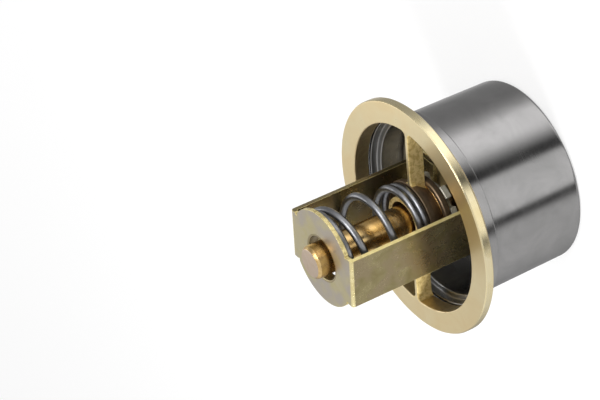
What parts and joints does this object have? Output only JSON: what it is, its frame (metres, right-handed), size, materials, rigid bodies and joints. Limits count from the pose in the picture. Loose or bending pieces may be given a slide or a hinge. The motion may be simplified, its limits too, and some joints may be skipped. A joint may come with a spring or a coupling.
{
  "type": "engine thermostat",
  "caption": "Sleeve-valve coolant thermostat: brass flange with a bridge and wax element, steel sleeve, folded stirrup and return spring that open and close together.",
  "frame": {"origin": "centre of the sleeve's rear end, on the plane it stands on", "axes": "+Z along the valve's axis from the sleeve towards the stirrup, +X through the stirrup's arms, +Y along the flange's bridge"},
  "size_m": [0.067, 0.067, 0.0696],
  "materials": {
    "cast_brass": "turned, satin",
    "sheet_brass": "passivated sheet",
    "sleeve_steel": "brushed round the axis",
    "spring_wire": "drawn wire",
    "capsule_copper": "drawn copper",
    "element_brass": "turned",
    "crossbar_brass": "pressed sheet",
    "piston_steel": "ground",
    "seal_rubber": "matt"
  },
  "bodies": {
    "valve": {"sleeve": "sleeve_steel", "crossbar": "crossbar_brass", "piston_seat": "element_brass", "piston": "piston_steel", "stirrup": "sheet_brass", "rivet_left": "crossbar_brass", "rivet_right": "crossbar_brass", "return_spring": "spring_wire"},
    "flange": {"flange_casting": "cast_brass", "seat_seal": "seal_rubber", "wax_capsule": "capsule_copper", "element_guide": "element_brass"}
  },
  "joints": [
    {"name": "valve_opening", "type": "slide", "parent": "valve", "child": "flange", "axis": [0, 0, 1], "range_m": [0, 0.009], "stiffness_N_per_m": 5900, "springref_m": -0.015, "deforming": ["return_spring"]}
  ]
}
